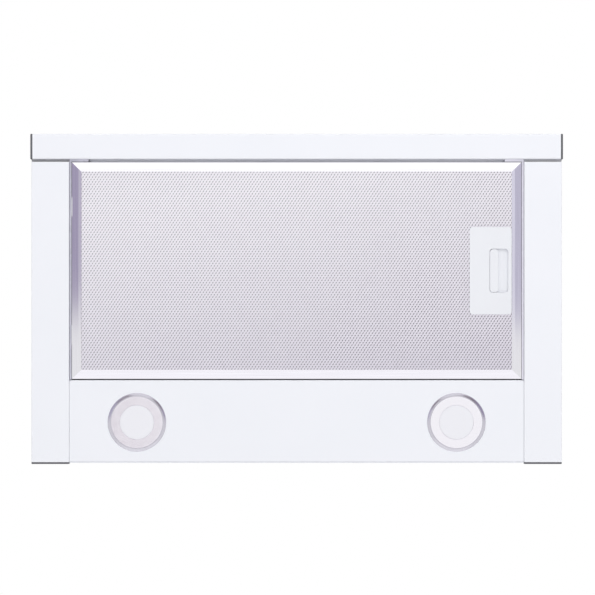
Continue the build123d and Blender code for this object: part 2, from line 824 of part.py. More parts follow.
# Visor top sheet, folded down behind the bar and hemmed towards the filter
fold_half = arm_inner - arm_flange - top_fold_gap
with BuildPart() as visor_top_sheet:
    with BuildSketch(Plane.XY.offset(arm_height)):
        with Locations((0, bar_rear + visor_top_depth / 2)):
            Rectangle(2 * arm_outer, visor_top_depth)
    extrude(amount=sheet)
    with BuildSketch(across(bar_rear + sheet)):
        with Locations((0, (top_fold_foot + arm_height) / 2)):
            Rectangle(2 * fold_half, arm_height - top_fold_foot)
    extrude(amount=sheet)
    with BuildSketch(Plane.XY.offset(top_fold_foot)):
        with Locations((0, (bar_rear + filter_front - top_hem_gap) / 2)):
            Rectangle(2 * fold_half, filter_gap - top_hem_gap)
    extrude(amount=sheet)
save(visor_top_sheet, "visor_top_sheet")

# Rear rail between the arms, a folded channel
with BuildPart() as visor_rear_rail:
    rail_rear = panel_front - panel_gap
    rail_path = [
        (rail_rear - cross_rail_depth, cross_rail_foot),
        (rail_rear, cross_rail_foot),
        (rail_rear, arm_height),
        (rail_rear - cross_rail_depth, arm_height),
    ]
    extrude(folded(Plane.YZ.offset(-arm_inner), rail_path, bend, sheet), amount=2 * arm_inner)
save(visor_rear_rail, "visor_rear_rail")

# Runners: outer rail on the casing, inner rail on the arm, roller cage between
race_mid = runner_sheet + race_height / 2
outer_top = runner_floor + runner_height
inner_low = runner_floor + runner_sheet + race_height
inner_high = outer_top - runner_sheet - race_height
outer_front = body_front + 2 * sheet
outer_rear = body_rear - runner_inset
inner_front = bar_rear + 2 * arm_sheet
overlap_mid = (outer_front + arm_rear - visor_travel) / 2
cage_mid = overlap_mid + visor_travel / 2
runner_tip = arm_outer + runner_mouth
inner_reach = wall_inner - runner_sheet - cage_sheet - rail_gap
cage_wall = wall_inner - runner_sheet - cage_gap
roller_x = (runner_tip + cage_wall - cage_sheet) / 2
roller_z = (runner_floor + race_mid, outer_top - race_mid)
roller_pitch = (cage_length - 2 * roller_inset) / (roller_count - 1)
for side, word in ((1, "right"), (-1, "left")):
    with BuildPart() as outer_rail:
        outer_path = [
            (runner_tip, runner_floor),
            (wall_inner, runner_floor),
            (wall_inner, outer_top),
            (runner_tip, outer_top),
        ]
        outer_section = folded(across(outer_rear), outer_path, bend, runner_sheet)
        extrude(outer_section, amount=outer_rear - outer_front)
        if side < 0:
            mirror(about=Plane.YZ, mode=Mode.REPLACE)
    save(outer_rail, f"runner_outer_{word}")
    with BuildPart() as inner_rail:
        inner_path = [
            (inner_reach, inner_high),
            (arm_outer, inner_high),
            (arm_outer, inner_low),
            (inner_reach, inner_low),
        ]
        inner_section = folded(across(arm_rear), inner_path, bend, runner_sheet)
        extrude(inner_section, amount=arm_rear - inner_front)
        if side < 0:
            mirror(about=Plane.YZ, mode=Mode.REPLACE)
    save(inner_rail, f"runner_inner_{word}")
    with BuildPart() as cage:
        with BuildSketch(across(cage_mid + cage_length / 2)):
            with Locations((cage_wall - cage_sheet / 2, (roller_z[0] + roller_z[1]) / 2)):
                Rectangle(cage_sheet, roller_z[1] - roller_z[0] + cage_sheet)
            with Locations(*[((runner_tip + cage_wall) / 2, z) for z in roller_z]):
                Rectangle(cage_wall - runner_tip, cage_sheet)
        extrude(amount=cage_length)
        with BuildSketch(Plane.XY.offset(runner_floor)):
            with Locations((roller_x, cage_mid)):
                with GridLocations(0, roller_pitch, 1, roller_count):
                    Rectangle(roller_length + cage_gap, roller_diameter + cage_gap)
        extrude(amount=runner_height, mode=Mode.SUBTRACT)
        with BuildSketch(Plane.YZ.offset(roller_x - roller_length / 2)):
            with Locations(*[(cage_mid, z) for z in roller_z]):
                with GridLocations(roller_pitch, 0, roller_count, 1):
                    Circle(roller_diameter / 2)
        extrude(amount=roller_length)
        if side < 0:
            mirror(about=Plane.YZ, mode=Mode.REPLACE)
    save(cage, f"roller_cage_{word}")

# Inner grease filter, resting on the front hem and the lamp panel ledge
inner_half = ledge_half - ledge_clearance
inner_front_edge = body_front + 3 * sheet
inner_rear_edge = panel_front + panel_ledge - sheet
with BuildPart() as inner_filter_frame:
    inner_depths = (inner_front_edge, inner_rear_edge)
    add(mitred_frame(inner_half, inner_depths, (inner_floor, inner_top), [(inner_face, 0)]))
save(inner_filter_frame, "inner_filter_frame")

with BuildPart() as inner_filter_mesh:
    with BuildSketch(Plane.XY.offset(inner_floor + frame_sheet)):
        with Locations((0, (inner_front_edge + inner_rear_edge) / 2)):
            inner_gap = 2 * (frame_sheet + pack_fit)
            Rectangle(2 * inner_half - inner_gap, inner_rear_edge - inner_front_edge - inner_gap)
    extrude(amount=inner_thickness - 2 * frame_sheet)
save(inner_filter_mesh, "inner_filter_mesh")

# Fan housing: volute from quarter arcs that grow, opening into a wide throat
volute_top = fan_z + volute_radius
left_knee = (volute_top + ceiling) / 2
for side, word in ((1, "right"), (-1, "left")):
    with BuildPart() as housing:
        with BuildSketch(Plane.YZ) as outline:
            with BuildLine():
                r1 = volute_radius
                r2 = volute_radius + volute_step
                r3 = volute_radius + 2 * volute_step
                CenterArc((fan_y, fan_z), r1, 90, 90)
                CenterArc((fan_y + volute_step, fan_z), r2, 180, 90)
                CenterArc((fan_y + volute_step, fan_z + volute_step), r3, 270, 90)
                Polyline(
                    (throat_rear, fan_z + volute_step),
                    (throat_rear, ceiling),
                    (throat_front, ceiling),
                    (throat_front, left_knee),
                    (fan_y, volute_top),
                )
            make_face()
        extrude(amount=side * fan_width / 2)
        with BuildSketch(Plane.YZ):
            add(outline.sketch_local)
            offset(amount=-fan_wall)
        extrude(amount=side * (fan_width / 2 - fan_wall), mode=Mode.SUBTRACT)
        with BuildSketch(Plane.XY.offset(ceiling)):
            with Locations((side * (fan_width / 2 - fan_wall) / 2, duct_y)):
                Rectangle(fan_width / 2 - fan_wall, throat - 2 * fan_wall)
        extrude(amount=-2 * fan_wall, mode=Mode.SUBTRACT)
        with BuildSketch(Plane.YZ):
            with Locations((fan_y, fan_z)):
                Circle(inlet_radius)
        extrude(amount=side * fan_width, mode=Mode.SUBTRACT)
        with BuildSketch(Plane.YZ.offset(side * fan_width / 2)):
            with Locations((fan_y, fan_z)):
                Circle(inlet_radius + fan_wall)
                Circle(inlet_radius, mode=Mode.SUBTRACT)
        extrude(amount=-side * 2 * fan_wall)
    save(housing, f"fan_housing_{word}")

# Impeller: double-inlet drum of forward-curved blades on a middle disc
blade_mid = wheel_radius - blade_depth / 2
blade_foot = wheel_radius - blade_depth + blade_root
blade_tip = wheel_radius - blade_root
blade_x = blade_tip * cos(radians(blade_sweep))
blade_y = blade_tip * sin(radians(blade_sweep))
with BuildSketch() as blade:
    Polygon(
        (blade_foot, 0),
        (blade_mid + blade_root, blade_sheet),
        (blade_x, blade_y),
        (blade_x - blade_root, blade_y + blade_sheet),
        (blade_mid - blade_root, 2 * blade_sheet),
        (blade_foot, blade_sheet),
        align=None,
    )
with BuildPart() as impeller:
    with BuildSketch(Plane.YZ.offset(-wheel_length / 2)):
        with Locations((fan_y, fan_z)):
            with PolarLocations(0, blade_count):
                add(blade.sketch)
    extrude(amount=wheel_length)
    wheel_ends = (-wheel_length / 2, wheel_length / 2 - ring_width)
    with BuildSketch(*[Plane.YZ.offset(x) for x in wheel_ends]):
        with Locations((fan_y, fan_z)):
            Circle(wheel_radius)
            Circle(wheel_radius - blade_depth, mode=Mode.SUBTRACT)
    extrude(amount=ring_width)
    with BuildSketch(Plane.YZ.offset(-disc_sheet / 2)):
        with Locations((fan_y, fan_z)):
            Circle(wheel_radius)
    extrude(amount=disc_sheet)
    with BuildSketch(Plane.YZ.offset(-hub_back)):
        with Locations((fan_y, fan_z)):
            Circle(hub_radius)
    extrude(amount=hub_length)
    with BuildSketch(Plane.YZ.offset(-wheel_length / 2)):
        with Locations((fan_y, fan_z)):
            Circle(shaft_radius)
    extrude(amount=wheel_length, mode=Mode.SUBTRACT)
save(impeller, "impeller")

# Motor in the left half of the wheel
motor_rear = -fan_width / 2
shaft_rear = motor_rear + shaft_seat
with BuildPart() as motor_shaft:
    with BuildSketch(Plane.YZ.offset(shaft_rear)):
        with Locations((fan_y, fan_z)):
            Circle(shaft_radius)
    extrude(amount=shaft_nose - shaft_rear)
save(motor_shaft, "motor_shaft")

with BuildPart() as motor:
    with BuildSketch(Plane.YZ.offset(motor_rear)):
        with Locations((fan_y, fan_z)):
            Circle(motor_radius)
    extrude(amount=motor_length - motor_boss)
    with BuildSketch(Plane.YZ.offset(motor_rear)):
        with Locations((fan_y, fan_z)):
            Circle(hub_radius)
    extrude(amount=motor_length)
    with BuildSketch(Plane.YZ.offset(shaft_rear)):
        with Locations((fan_y, fan_z)):
            Circle(shaft_radius + shaft_fit)
    extrude(amount=motor_length, mode=Mode.SUBTRACT)
save(motor, "motor")

# Three-armed bracket that holds the motor in the left inlet
with BuildPart() as motor_bracket:
    with BuildSketch(Plane.YZ.offset(motor_rear - bracket_sheet)):
        with Locations((fan_y, fan_z)):
            Circle(bracket_hub)
            with PolarLocations((inlet_radius + bracket_reach) / 2, bracket_arms, start_angle=90):
                Rectangle(inlet_radius + bracket_reach, bracket_width)
    extrude(amount=bracket_sheet)
save(motor_bracket, "motor_bracket")

# Duct collar with a seat for the flaps and holes for their pin
with BuildPart() as duct_collar:
    collar_inner = collar_radius - collar_wall
    with BuildSketch(Plane.XY.offset(body_height)):
        with Locations((0, duct_y)):
            Circle(collar_radius + collar_flange)
            Circle(collar_inner, mode=Mode.SUBTRACT)
            with PolarLocations(collar_holes, collar_screw_count, start_angle=45):
                Circle(screw_hole, mode=Mode.SUBTRACT)
    extrude(amount=collar_sheet)
    with BuildSketch(Plane.XY.offset(body_height)):
        with Locations((0, duct_y)):
            Circle(collar_radius)
            Circle(collar_inner, mode=Mode.SUBTRACT)
    extrude(amount=collar_height)
    with BuildSketch(Plane.XY.offset(flap_z - flap_sheet / 2 - seat_gap - seat_sheet)):
        with Locations((0, duct_y)):
            Circle(collar_inner + seat_root)
            Circle(collar_inner - flap_seat, mode=Mode.SUBTRACT)
            Rectangle(3 * collar_radius, 2 * (knuckle_radius + knuckle_play), mode=Mode.SUBTRACT)
    extrude(amount=seat_sheet)
    with BuildSketch(Plane.YZ):
        with Locations((duct_y, flap_z)):
            Circle(pin_radius + shaft_fit)
    extrude(amount=2 * collar_radius, both=True, mode=Mode.SUBTRACT)
save(duct_collar, "duct_collar")

with BuildPart() as flap_pin:
    with BuildSketch(Plane.YZ):
        with Locations((duct_y, flap_z)):
            Circle(pin_radius)
    extrude(amount=collar_radius - pin_inset, both=True)
save(flap_pin, "flap_pin")

# Butterfly flaps: one knuckle of the front flap turns between two of the rear flap, on one pin
knuckle_step = knuckle_length + knuckle_gap
for side, word, knuckles in ((-1, "front", (0,)), (1, "rear", (-knuckle_step, knuckle_step))):
    with BuildPart() as flap:
        with BuildSketch(Plane.XY.offset(flap_z - flap_sheet / 2)):
            with Locations((0, duct_y)):
                Circle(collar_inner - flap_play)
                with Locations((0, side * (flap_gap - collar_radius))):
                    Rectangle(2 * collar_radius, 2 * collar_radius, mode=Mode.SUBTRACT)
                with Locations(*[(x, side * flap_gap / 2) for x in knuckles]):
                    Rectangle(knuckle_length, flap_gap + knuckle_root)
        extrude(amount=flap_sheet)
        for x in knuckles:
            with BuildSketch(Plane.YZ.offset(x - knuckle_length / 2)):
                with Locations((duct_y, flap_z)):
                    Circle(knuckle_radius)
            extrude(amount=knuckle_length)
        with BuildSketch(Plane.YZ):
            with Locations((duct_y, flap_z)):
                Circle(pin_radius + shaft_fit)
        extrude(amount=collar_radius, both=True, mode=Mode.SUBTRACT)
    save(flap, f"flap_{word}")

# Push buttons, flush with the bar, in a guide block behind its front wall
block_front = bar_front + sheet
block_length = button_length + button_travel + block_slack
block_x = button_count * button_pitch + 2 * block_wall
with BuildPart() as switch_block:
    with BuildSketch(across(block_front + block_length + block_wall)):
        with Locations((button_offset, button_z)):
            Rectangle(block_x, button_height + 4 * block_wall)
    extrude(amount=block_length + block_wall)
    with BuildSketch(across(block_front + block_length)):
        with Locations((button_offset, button_z)):
            with GridLocations(button_pitch, 0, button_count, 1):
                Rectangle(button_width + 2 * button_play, button_height + 2 * button_play)
    extrude(amount=block_length, mode=Mode.SUBTRACT)
save(switch_block, "switch_block")

for number in range(button_count):
    with BuildPart() as button:
        with BuildSketch(across(bar_front + button_inset + button_length)):
            with Locations((first_button + number * button_pitch, button_z)):
                Rectangle(button_width, button_height)
        extrude(amount=button_length)
        fillet(button.edges().group_by(Axis.Y)[0], button_round)
    save(button, f"button_{number + 1}")

# Terminal box, capacitor and cable gland under the top panel
with BuildPart() as terminal_box:
    with BuildSketch(Plane.XY.offset(ceiling - box_height)):
        with Locations((gland_x - box_shift, gland_y)):
            RectangleRounded(box_width, box_depth, box_corner)
    extrude(amount=box_height)
    with BuildSketch(Plane.XY.offset(ceiling - box_height + box_wall)):
        with Locations((gland_x - box_shift, gland_y)):
            Rectangle(box_width - 2 * box_wall, box_depth - 2 * box_wall)
    extrude(amount=box_height, mode=Mode.SUBTRACT)
save(terminal_box, "terminal_box")

with BuildPart() as capacitor:
    with BuildSketch(Plane.XY.offset(ceiling - capacitor_height)):
        with Locations((box_width / 2 - gland_x, gland_y)):
            RectangleRounded(capacitor_width, capacitor_depth, capacitor_corner)
    extrude(amount=capacitor_height)
save(capacitor, "capacitor")

with BuildPart() as cable_gland:
    with BuildSketch(Plane.XY.offset(body_height)):
        with Locations((gland_x, gland_y)):
            RegularPolygon(gland_hex, 6)
    extrude(amount=gland_nut)
    with BuildSketch(Plane.XY.offset(body_height + gland_nut)):
        with Locations((gland_x, gland_y)):
            Circle(gland_radius)
    extrude(amount=gland_height - gland_nut, taper=gland_taper)
    with BuildSketch(Plane.XY.offset(ceiling - gland_tail)):
        with Locations((gland_x, gland_y)):
            Circle(gland_thread - gland_fit)
    extrude(amount=gland_tail + sheet)
    with BuildSketch(Plane.XY.offset(ceiling)):
        with Locations((gland_x, gland_y)):
            Circle(gland_bore)
    extrude(amount=2 * gland_height, both=True, mode=Mode.SUBTRACT)
save(cable_gland, "cable_gland")

# Screws: casing joints, collar flange and visor arms
with BuildPart() as casing_screws:
    for side in (1, -1):
        for y in joint_depths:
            for z in joint_heights:
                seat = Plane((side * wall_outer, y, z), x_dir=(0, 1, 0), z_dir=(side, 0, 0))
                add(seat * hex_screw(screw_length))
save(casing_screws, "casing_screws")

with BuildPart() as collar_screws:
    with Locations((0, duct_y, body_height + collar_sheet)):
        with PolarLocations(collar_holes, collar_screw_count, start_angle=45):
            add(hex_screw(screw_length))
save(collar_screws, "collar_screws")

with BuildPart() as arm_screws:
    for side in (1, -1):
        for z in arm_screw_heights:
            head = (side * arm_screw_x, bar_rear + arm_sheet, z)
            seat = Plane(head, x_dir=(1, 0, 0), z_dir=(0, 1, 0))
            add(seat * hex_screw(screw_length))
save(arm_screws, "arm_screws")
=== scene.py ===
import json
import math

import bmesh
import bpy
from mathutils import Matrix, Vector


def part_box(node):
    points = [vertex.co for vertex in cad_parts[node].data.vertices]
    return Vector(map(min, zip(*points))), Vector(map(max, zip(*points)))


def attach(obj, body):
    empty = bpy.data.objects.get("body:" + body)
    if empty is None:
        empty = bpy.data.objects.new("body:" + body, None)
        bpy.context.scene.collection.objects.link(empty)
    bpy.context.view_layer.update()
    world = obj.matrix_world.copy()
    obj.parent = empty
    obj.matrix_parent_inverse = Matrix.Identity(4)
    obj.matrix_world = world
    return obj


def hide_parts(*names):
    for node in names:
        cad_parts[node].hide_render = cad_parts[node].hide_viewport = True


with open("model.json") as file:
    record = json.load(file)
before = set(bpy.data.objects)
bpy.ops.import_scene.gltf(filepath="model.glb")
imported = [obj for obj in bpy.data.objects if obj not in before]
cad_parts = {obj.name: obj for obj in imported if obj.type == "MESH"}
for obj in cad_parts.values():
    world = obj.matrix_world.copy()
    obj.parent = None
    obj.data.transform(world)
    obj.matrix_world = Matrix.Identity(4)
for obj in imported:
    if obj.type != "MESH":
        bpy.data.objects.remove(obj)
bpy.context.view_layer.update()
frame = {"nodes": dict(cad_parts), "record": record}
nodes = frame["nodes"]
scene = bpy.context.scene
mm = 0.001
print("frame:", len(nodes), "nodes")


def linear(hexText):
    channels = [int(hexText[i:i + 2], 16) / 255 for i in (1, 3, 5)]
    return [c / 12.92 if c <= 0.04045 else ((c + 0.055) / 1.055) ** 2.4 for c in channels] + [1.0]


def addNode(tree, kind, inputs=None, **settings):
    node = tree.nodes.new("ShaderNode" + kind)
    for name, value in settings.items():
        setattr(node, name, value)
    for name, value in (inputs or {}).items():
        socket = node.inputs[name]
        if isinstance(value, bpy.types.NodeSocket):
            tree.links.new(value, socket)
        else:
            socket.default_value = value
    return node


def newMaterial(name):
    material = bpy.data.materials.new(name)
    material.use_nodes = True
    shader = material.node_tree.nodes["Principled BSDF"]
    place = addNode(material.node_tree, "TexCoord").outputs["Object"]
    return material, material.node_tree, shader, place


# Powder coated steel: sprayed and baked, so it is satin with a soft orange peel and an even colour
def powderCoat(name, spec):
    material, tree, shader, place = newMaterial(name)
    cloud = addNode(tree, "TexNoise", {"Vector": place, "Scale": 1 / (spec["cloudMm"] * mm), "Detail": 2.0})
    tones = {0: cloud.outputs["Fac"], 6: linear(spec["low"]), 7: linear(spec["high"])}
    tint = addNode(tree, "Mix", tones, data_type="RGBA")
    peel = addNode(tree, "TexNoise", {"Vector": place, "Scale": 1 / (spec["peelMm"] * mm), "Detail": 1.0})
    relief = {"Height": peel.outputs["Fac"], "Strength": spec["peel"], "Distance": spec["reliefMm"] * mm}
    bump = addNode(tree, "Bump", relief)
    shader.inputs["Roughness"].default_value = spec["roughness"]
    tree.links.new(tint.outputs[2], shader.inputs["Base Color"])
    tree.links.new(bump.outputs["Normal"], shader.inputs["Normal"])
    return material


whiteCoat = {"low": "#eceef4", "high": "#f0f1f7", "cloudMm": 70,
             "peelMm": 2.2, "peel": 0.12, "reliefMm": 0.05, "roughness": 0.42}
casingCoat = {"low": "#e6e8ee", "high": "#ebedf2", "cloudMm": 90,
              "peelMm": 2.6, "peel": 0.18, "reliefMm": 0.05, "roughness": 0.5}


# Moulded plastics: a spark eroded grain from the tool, drawn coarse enough to show, and a dull even gloss
def mouldedPlastic(name, spec):
    material, tree, shader, place = newMaterial(name)
    cloud = addNode(tree, "TexNoise", {"Vector": place, "Scale": 1 / (spec["cloudMm"] * mm), "Detail": 2.0})
    tones = {0: cloud.outputs["Fac"], 6: linear(spec["low"]), 7: linear(spec["high"])}
    tint = addNode(tree, "Mix", tones, data_type="RGBA")
    grain = addNode(tree, "TexNoise", {"Vector": place, "Scale": 1 / (spec["grainMm"] * mm), "Detail": 3.0})
    relief = {"Height": grain.outputs["Fac"], "Strength": spec["grain"], "Distance": spec["reliefMm"] * mm}
    bump = addNode(tree, "Bump", relief)
    shader.inputs["Roughness"].default_value = spec["roughness"]
    shader.inputs["IOR"].default_value = spec["ior"]
    tree.links.new(tint.outputs[2], shader.inputs["Base Color"])
    tree.links.new(bump.outputs["Normal"], shader.inputs["Normal"])
    return material


whiteAbs = {"low": "#e6e7ed", "high": "#ebedf2", "cloudMm": 30,
            "grainMm": 0.9, "grain": 0.1, "reliefMm": 0.04, "roughness": 0.36, "ior": 1.54}
greyAbs = {"low": "#55555a", "high": "#5e5e64", "cloudMm": 12,
           "grainMm": 0.6, "grain": 0.25, "reliefMm": 0.04, "roughness": 0.5, "ior": 1.54}
buttonAbs = {"low": "#d4d6dc", "high": "#dcdee3", "cloudMm": 15,
             "grainMm": 0.6, "grain": 0.15, "reliefMm": 0.04, "roughness": 0.32, "ior": 1.54}
blackPolypropylene = {"low": "#161618", "high": "#222225", "cloudMm": 40,
                      "grainMm": 0.8, "grain": 0.4, "reliefMm": 0.04, "roughness": 0.48, "ior": 1.49}
padRubberPaintedShade = {"low": "#505056", "high": "#f0f0f6", "cloudMm": 380,  # painted shade: the wide cloud makes the left pad darker and the right pad lighter, for the shade in the gaps they sit in
             "grainMm": 0.7, "grain": 0.5, "reliefMm": 0.04, "roughness": 0.7, "ior": 1.52}
socketPbt = {"low": "#b4b5b9", "high": "#c2c3c7", "cloudMm": 20,
             "grainMm": 0.8, "grain": 0.3, "reliefMm": 0.04, "roughness": 0.5, "ior": 1.58}


# Zinc plated steel: passivated grey with a faint cloudy spangle
def zincPlate(name, spec):
    material, tree, shader, place = newMaterial(name)
    spangle = addNode(tree, "TexVoronoi", {"Vector": place, "Scale": 1 / (spec["spangleMm"] * mm)})
    tones = {0: spangle.outputs["Color"], 6: linear(spec["low"]), 7: linear(spec["high"])}
    tint = addNode(tree, "Mix", tones, data_type="RGBA")
    cloud = addNode(tree, "TexNoise", {"Vector": place, "Scale": 1 / (spec["cloudMm"] * mm), "Detail": 4.0})
    rough = addNode(tree, "MapRange", {0: cloud.outputs["Fac"], 3: spec["roughLow"], 4: spec["roughHigh"]})
    shader.inputs["Metallic"].default_value = 1.0
    tree.links.new(tint.outputs[2], shader.inputs["Base Color"])
    tree.links.new(rough.outputs[0], shader.inputs["Roughness"])
    return material


zincSteel = {"low": "#b6b6c2", "high": "#c8c7d3", "spangleMm": 5, "cloudMm": 25,
             "roughLow": 0.3, "roughHigh": 0.5}
# painted light: a lighter copy of the zinc, used only on the right arm's edge
zincPaintedLight = {"low": "#d8d7e2", "high": "#e3e2ec", "spangleMm": 5, "cloudMm": 25,
              "roughLow": 0.3, "roughHigh": 0.5}
motorShell = {"low": "#3a3b3f", "high": "#46474b", "spangleMm": 3, "cloudMm": 15,
              "roughLow": 0.45, "roughHigh": 0.6}
springSteel = {"low": "#7d7f86", "high": "#8f9198", "spangleMm": 2, "cloudMm": 8,
               "roughLow": 0.25, "roughHigh": 0.35}


# Rolled aluminium strip: lines along each strip of the frame, drawn coarse enough to show, and a clear shine
def rolledAluminium(name, spec):
    material, tree, shader, place = newMaterial(name)
    face = addNode(tree, "SeparateXYZ", {0: addNode(tree, "NewGeometry").outputs["True Normal"]})
    sideways = addNode(tree, "Math", {0: face.outputs["X"]}, operation="ABSOLUTE")
    lengthways = addNode(tree, "Math", {0: face.outputs["Y"]}, operation="ABSOLUTE")
    lean = {0: sideways.outputs[0], 1: lengthways.outputs[0]}
    alongY = addNode(tree, "Math", lean, operation="GREATER_THAN")
    fine = 1 / (spec["lineMm"] * mm)
    long = 1 / (spec["runMm"] * mm)
    linesY = addNode(tree, "Mapping", {"Vector": place, "Scale": (fine, long, fine)})
    linesX = addNode(tree, "Mapping", {"Vector": place, "Scale": (long, fine, fine)})
    ways = {0: alongY.outputs[0], 4: linesX.outputs[0], 5: linesY.outputs[0]}
    lines = addNode(tree, "Mix", ways, data_type="VECTOR")
    streak = addNode(tree, "TexNoise", {"Vector": lines.outputs[1], "Scale": 1.0, "Detail": 2.0})
    tones = {0: streak.outputs["Fac"], 6: linear(spec["low"]), 7: linear(spec["high"])}
    tint = addNode(tree, "Mix", tones, data_type="RGBA")
    rough = addNode(tree, "MapRange", {0: streak.outputs["Fac"], 3: spec["roughLow"], 4: spec["roughHigh"]})
    shader.inputs["Metallic"].default_value = 1.0
    tree.links.new(tint.outputs[2], shader.inputs["Base Color"])
    tree.links.new(rough.outputs[0], shader.inputs["Roughness"])
    return material


frameAluminium = {"low": "#dcdbe0", "high": "#ebeaee", "lineMm": 1.2, "runMm": 60,
                  "roughLow": 0.06, "roughHigh": 0.12}


# Slit and stretched aluminium sheet: bright cut strands, with painted shade that makes it duller towards the
# rear and the right and lighter towards the front
def stretchedAluminium(name, spec):
    material, tree, shader, place = newMaterial(name)
    cloud = addNode(tree, "TexNoise", {"Vector": place, "Scale": 1 / (spec["cloudMm"] * mm), "Detail": 3.0})
    slope = addNode(tree, "VectorMath", {0: place, 1: spec["shadeSlope"]}, operation="DOT_PRODUCT")
    # painted shade: the tone runs from light at the front to dark at the rear
    paintedShade = addNode(tree, "MapRange", {0: slope.outputs["Value"], 1: -1.0, 2: 1.0})
    mixed = addNode(tree, "Mix", {0: spec["patchy"], 2: paintedShade.outputs[0], 3: cloud.outputs["Fac"]})
    tones = {0: mixed.outputs[0], 6: linear(spec["low"]), 7: linear(spec["high"])}
    tint = addNode(tree, "Mix", tones, data_type="RGBA")
    shader.inputs["Metallic"].default_value = 1.0
    shader.inputs["Roughness"].default_value = spec["roughness"]
    tree.links.new(tint.outputs[2], shader.inputs["Base Color"])
    return material


paintedShadeSlope = (-1.4, -9.0, 0.0)  # painted shade: change of tone for each metre along X and Y, darker towards the rear and the right
meshAluminium = {"low": "#d8d4de", "high": "#f9f7fb", "cloudMm": 18, "patchy": 0.12,
                 "roughness": 0.42, "shadeSlope": paintedShadeSlope}
woolAluminium = {"low": "#6e6b74", "high": "#b4b2ba", "cloudMm": 1.6, "patchy": 0.5,
                 "roughness": 0.55, "shadeSlope": paintedShadeSlope}


# Nickel plated ring and lacquered reflector: both turned, so they are smooth and only slightly blurred
def turnedMetal(name, spec):
    material, tree, shader, place = newMaterial(name)
    cloud = addNode(tree, "TexNoise", {"Vector": place, "Scale": 1 / (spec["cloudMm"] * mm), "Detail": 2.0})
    rough = addNode(tree, "MapRange", {0: cloud.outputs["Fac"], 3: spec["roughLow"], 4: spec["roughHigh"]})
    shader.inputs["Metallic"].default_value = 1.0
    shader.inputs["Base Color"].default_value = linear(spec["colour"])
    tree.links.new(rough.outputs[0], shader.inputs["Roughness"])
    return material


satinNickel = {"colour": "#c8c6cf", "cloudMm": 4, "roughLow": 0.16, "roughHigh": 0.26}
reflectorSatin = {"colour": "#f1eff5", "cloudMm": 6, "roughLow": 0.14, "roughHigh": 0.22}


# Acid etched glass: milky white, lit from the room, its frosted tooth drawn coarse enough to show
def frostedGlass(name, spec):
    material, tree, shader, place = newMaterial(name)
    tooth = addNode(tree, "TexNoise", {"Vector": place, "Scale": 1 / (spec["toothMm"] * mm), "Detail": 2.0})
    relief = {"Height": tooth.outputs["Fac"], "Strength": spec["tooth"], "Distance": spec["reliefMm"] * mm}
    bump = addNode(tree, "Bump", relief)
    shader.inputs["Base Color"].default_value = linear(spec["colour"])
    shader.inputs["Roughness"].default_value = spec["roughness"]
    shader.inputs["IOR"].default_value = spec["ior"]
    tree.links.new(bump.outputs["Normal"], shader.inputs["Normal"])
    return material


lampGlass = {"colour": "#ebebf1", "toothMm": 0.7, "tooth": 0.15, "reliefMm": 0.03,
             "roughness": 0.4, "ior": 1.5}

finishes = {
    "white_paint": powderCoat("powderCoatWhite", whiteCoat),
    "casing_paint": powderCoat("powderCoatCasing", casingCoat),
    "zinc_steel": zincPlate("zincPlatedSteel", zincSteel),
    "rolled_aluminium": rolledAluminium("rolledAluminium", frameAluminium),
    "expanded_aluminium": stretchedAluminium("stretchedAluminium", meshAluminium),
    "filter_wool": stretchedAluminium("knittedAluminiumWool", woolAluminium),
    "white_plastic": mouldedPlastic("absWhite", whiteAbs),
    "grey_plastic": mouldedPlastic("absGrey", greyAbs),
    "pad_rubber": mouldedPlastic("epdmRubberPaintedShade", padRubberPaintedShade),
    "black_plastic": mouldedPlastic("polypropyleneBlack", blackPolypropylene),
    "satin_nickel": turnedMetal("nickelPlate", satinNickel),
    "frosted_lens": frostedGlass("etchedGlass", lampGlass),
    "can_plastic": mouldedPlastic("pbtGrey", socketPbt),
    "motor_steel": zincPlate("motorShellPaint", motorShell),
    "spring_steel": zincPlate("springSteelBlued", springSteel),
    "button_plastic": mouldedPlastic("absButton", buttonAbs),
}
reflector = turnedMetal("lacqueredReflector", reflectorSatin)
paintedLightZinc = zincPlate("zincPlatedSteelPaintedLight", zincPaintedLight)
for part in frame["record"]["subparts"]:
    nodes[part["node"]].data.materials.clear()
    nodes[part["node"]].data.materials.append(finishes[part["material_slot"]])
nodes["visor_arm_right"].data.materials[0] = paintedLightZinc  # painted light: the right arm gets a lighter copy of the zinc, so its edge is lighter than the left one
print("materials:", len(finishes) + 2)


def addPiece(name, mesh, body, slot, *standsFor):
    piece = bpy.data.objects.new(name, mesh)
    scene.collection.objects.link(piece)
    piece.data.materials.append(finishes[slot])
    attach(piece, body)
    if standsFor:
        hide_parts(*standsFor)
    return piece


